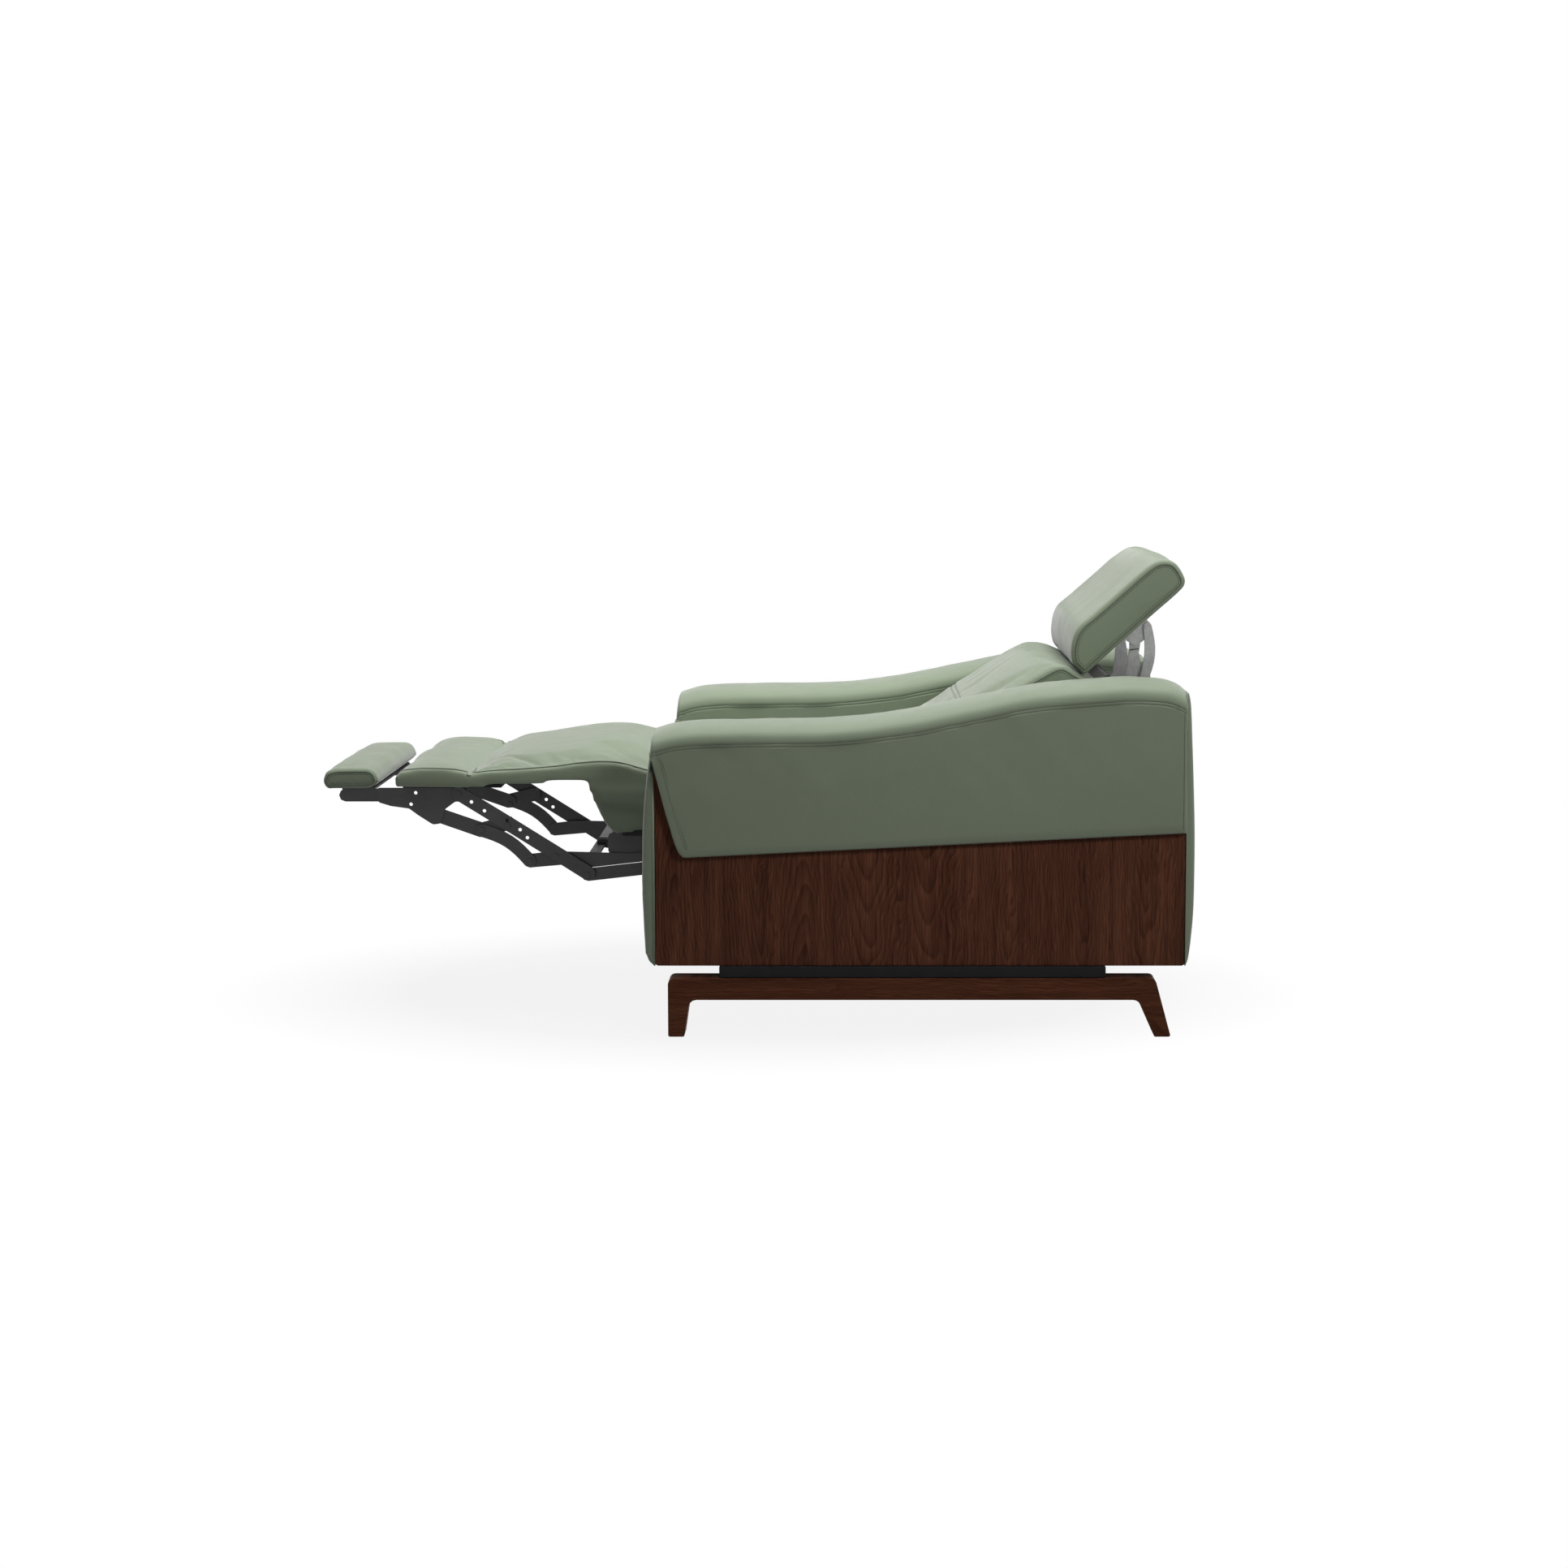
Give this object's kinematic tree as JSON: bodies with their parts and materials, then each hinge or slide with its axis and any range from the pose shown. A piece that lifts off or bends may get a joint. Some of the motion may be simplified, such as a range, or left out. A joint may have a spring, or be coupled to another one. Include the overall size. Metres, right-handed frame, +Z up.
{
  "type": "power recliner",
  "caption": "Wood-sided power recliner shown open: padded arms, lifting leg rest on a steel linkage with a foot pad, gliding seat, reclining back and folding headrest.",
  "frame": {"origin": "centre of the bounding box at floor level", "axes": "+Z up, -Y the way the sitter faces, +X the sitter's left"},
  "size_m": [0.98, 1.5966, 0.8555],
  "materials": {
    "leather": "smooth sage-green leather with a fine grain, satin",
    "dark_wood": "dark red-brown stained veneer, satin lacquer",
    "black_paint": "satin black paint",
    "charcoal_steel": "charcoal powder coat",
    "grey_steel": "plain steel",
    "silver_steel": "silver-grey powder coat",
    "plywood": "bare plywood, covered by dark lining",
    "lining": "black webbing and lining cloth",
    "black_plastic": "matte black",
    "button_plastic": "matte grey"
  },
  "bodies": {
    "base": {"leg_frame_left": "dark_wood", "leg_frame_right": "dark_wood", "plinth_left": "black_paint", "plinth_right": "black_paint", "base_crossbar_front": "black_paint", "base_crossbar_rear": "black_paint", "side_panel_left": "dark_wood", "side_panel_right": "dark_wood", "arm_left": "leather", "arm_right": "leather", "front_border_left": "leather", "front_border_right": "leather", "rear_shell": "leather", "control_plate": "black_plastic", "power_supply": "black_plastic", "glide_rail_left": "charcoal_steel", "glide_rail_right": "charcoal_steel"},
    "seat": {"side_plate_left": "charcoal_steel", "side_plate_right": "charcoal_steel", "seat_tube_front": "charcoal_steel", "seat_tube_middle": "charcoal_steel", "motor_tube": "charcoal_steel", "seat_deck": "lining", "seat_cushion": "leather"},
    "backrest": {"back_frame": "plywood", "back_cushion": "leather", "headrest_bracket_left": "silver_steel", "headrest_bracket_right": "silver_steel"},
    "headrest": {"headrest_pad": "leather", "headrest_gusset_left": "silver_steel", "headrest_gusset_right": "silver_steel"},
    "headrest_crank": {"headrest_crank": "silver_steel"},
    "headrest_links": {"headrest_link_left": "silver_steel", "headrest_link_right": "silver_steel"},
    "leg_rest": {"ottoman_plate_left": "charcoal_steel", "ottoman_plate_right": "charcoal_steel", "leg_rest_board": "plywood", "leg_rest_pad": "leather"},
    "drive_links": {"drive_linkage": "charcoal_steel"},
    "rear_links": {"rear_link_left": "charcoal_steel", "rear_link_right": "charcoal_steel"},
    "long_links": {"long_link_left": "charcoal_steel", "long_link_right": "charcoal_steel"},
    "curved_links": {"curved_link_left": "charcoal_steel", "curved_link_right": "charcoal_steel"},
    "cross_links": {"cross_link_left": "charcoal_steel", "cross_link_right": "charcoal_steel"},
    "front_links": {"front_link_left": "charcoal_steel", "front_link_right": "charcoal_steel"},
    "foot_rest": {"foot_bracket": "charcoal_steel", "foot_pad": "leather"},
    "leg_rest_actuator_body": {"leg_rest_actuator_body": "black_plastic"},
    "leg_rest_actuator_rod": {"leg_rest_actuator_rod": "grey_steel"},
    "recline_actuator_body": {"recline_actuator_body": "black_plastic"},
    "recline_actuator_rod": {"recline_actuator_rod": "grey_steel"},
    "button_leg_rest_out": {"button_leg_rest_out": "button_plastic"},
    "button_leg_rest_in": {"button_leg_rest_in": "button_plastic"},
    "button_back_down": {"button_back_down": "button_plastic"},
    "button_back_up": {"button_back_up": "button_plastic"}
  },
  "joints": [
    {"name": "seat_glide", "type": "slide", "parent": "base", "child": "seat", "axis": [0, 1, 0], "range_m": [0, 0.15]},
    {"name": "back_tilt", "type": "hinge", "parent": "seat", "child": "backrest", "pos_m": [0, 0.30945, 0.385], "axis": [1, 0, 0], "range_deg": [0, 45]},
    {"name": "headrest_fold", "type": "hinge", "parent": "backrest", "child": "headrest", "pos_m": [0, 0.71555, 0.696], "axis": [1, 0, 0], "range_deg": [-65, 0]},
    {"name": "headrest_crank_turn", "type": "hinge", "parent": "backrest", "child": "headrest_crank", "pos_m": [0, 0.70755, 0.59], "axis": [1, 0, 0], "range_deg": [-65, 0]},
    {"name": "headrest_link_turn", "type": "hinge", "parent": "headrest_crank", "child": "headrest_links", "pos_m": [0, 0.73035, 0.6109], "axis": [1, 0, 0], "range_deg": [0, 65]},
    {"name": "leg_rest_fold", "type": "hinge", "parent": "seat", "child": "leg_rest", "pos_m": [0, -0.32185, 0.4352], "axis": [1, 0, 0], "range_deg": [0, 90]},
    {"name": "drive_turn", "type": "hinge", "parent": "seat", "child": "drive_links", "pos_m": [0, -0.14175, 0.3177], "axis": [1, 0, 0], "range_deg": [0, 90]},
    {"name": "rear_turn", "type": "hinge", "parent": "seat", "child": "rear_links", "pos_m": [0, -0.08305, 0.2825], "axis": [1, 0, 0], "range_deg": [0, 90]},
    {"name": "long_turn", "type": "hinge", "parent": "drive_links", "child": "long_links", "pos_m": [0, -0.36885, 0.2918], "axis": [1, 0, 0], "range_deg": [-90, 0]},
    {"name": "curved_turn", "type": "hinge", "parent": "drive_links", "child": "curved_links", "pos_m": [0, -0.41745, 0.2827], "axis": [1, 0, 0], "range_deg": [-90, 0]},
    {"name": "cross_turn", "type": "hinge", "parent": "long_links", "child": "cross_links", "pos_m": [0, -0.458, 0.34996], "axis": [1, 0, 0], "range_deg": [0, 90]},
    {"name": "front_turn", "type": "hinge", "parent": "leg_rest", "child": "front_links", "pos_m": [0, -0.59795, 0.3933], "axis": [1, 0, 0], "range_deg": [-90, 0]},
    {"name": "foot_fold", "type": "hinge", "parent": "leg_rest", "child": "foot_rest", "pos_m": [0, -0.64585, 0.405], "axis": [1, 0, 0], "range_deg": [0, 78]},
    {"name": "leg_rest_actuator_tilt", "type": "hinge", "parent": "seat", "child": "leg_rest_actuator_body", "pos_m": [0, 0.275, 0.225], "axis": [1, 0, 0], "range_deg": [0, 10]},
    {"name": "leg_rest_rod_slide", "type": "slide", "parent": "leg_rest_actuator_body", "child": "leg_rest_actuator_rod", "axis": [0, -0.9918, 0.1282], "range_m": [-0.138, 0]},
    {"name": "recline_actuator_tilt", "type": "hinge", "parent": "seat", "child": "recline_actuator_body", "pos_m": [0, -0.02625, 0.225], "axis": [1, 0, 0], "range_deg": [0, 3.5]},
    {"name": "recline_rod_slide", "type": "slide", "parent": "recline_actuator_body", "child": "recline_actuator_rod", "axis": [0, 0.9931, 0.1169], "range_m": [0, 0.0905]},
    {"name": "press_leg_rest_out", "type": "slide", "parent": "base", "child": "button_leg_rest_out", "axis": [1, 0, 0], "range_m": [0, 0.0015], "stiffness_N_per_m": 300},
    {"name": "press_leg_rest_in", "type": "slide", "parent": "base", "child": "button_leg_rest_in", "axis": [1, 0, 0], "range_m": [0, 0.0015], "stiffness_N_per_m": 300},
    {"name": "press_back_down", "type": "slide", "parent": "base", "child": "button_back_down", "axis": [1, 0, 0], "range_m": [0, 0.0015], "stiffness_N_per_m": 300},
    {"name": "press_back_up", "type": "slide", "parent": "base", "child": "button_back_up", "axis": [1, 0, 0], "range_m": [0, 0.0015], "stiffness_N_per_m": 300}
  ],
  "couplings": [
    {"joint": "back_tilt", "follows": "seat_glide", "rad_per_m": 5.2358},
    {"joint": "headrest_crank_turn", "follows": "headrest_fold", "ratio": 1},
    {"joint": "headrest_link_turn", "follows": "headrest_fold", "ratio": -1},
    {"joint": "drive_turn", "follows": "leg_rest_fold", "ratio": 1},
    {"joint": "rear_turn", "follows": "leg_rest_fold", "ratio": 1},
    {"joint": "long_turn", "follows": "leg_rest_fold", "ratio": -1},
    {"joint": "curved_turn", "follows": "leg_rest_fold", "ratio": -1},
    {"joint": "cross_turn", "follows": "leg_rest_fold", "ratio": 1},
    {"joint": "front_turn", "follows": "leg_rest_fold", "ratio": -1},
    {"joint": "foot_fold", "follows": "leg_rest_fold", "ratio": 0.8666},
    {"joint": "leg_rest_actuator_tilt", "follows": "leg_rest_fold", "ratio": 0.10764},
    {"joint": "leg_rest_rod_slide", "follows": "leg_rest_fold", "m_per_rad": -0.0875},
    {"joint": "recline_actuator_tilt", "follows": "seat_glide", "rad_per_m": 0.3549},
    {"joint": "recline_rod_slide", "follows": "seat_glide", "ratio": 0.6003}
  ]
}
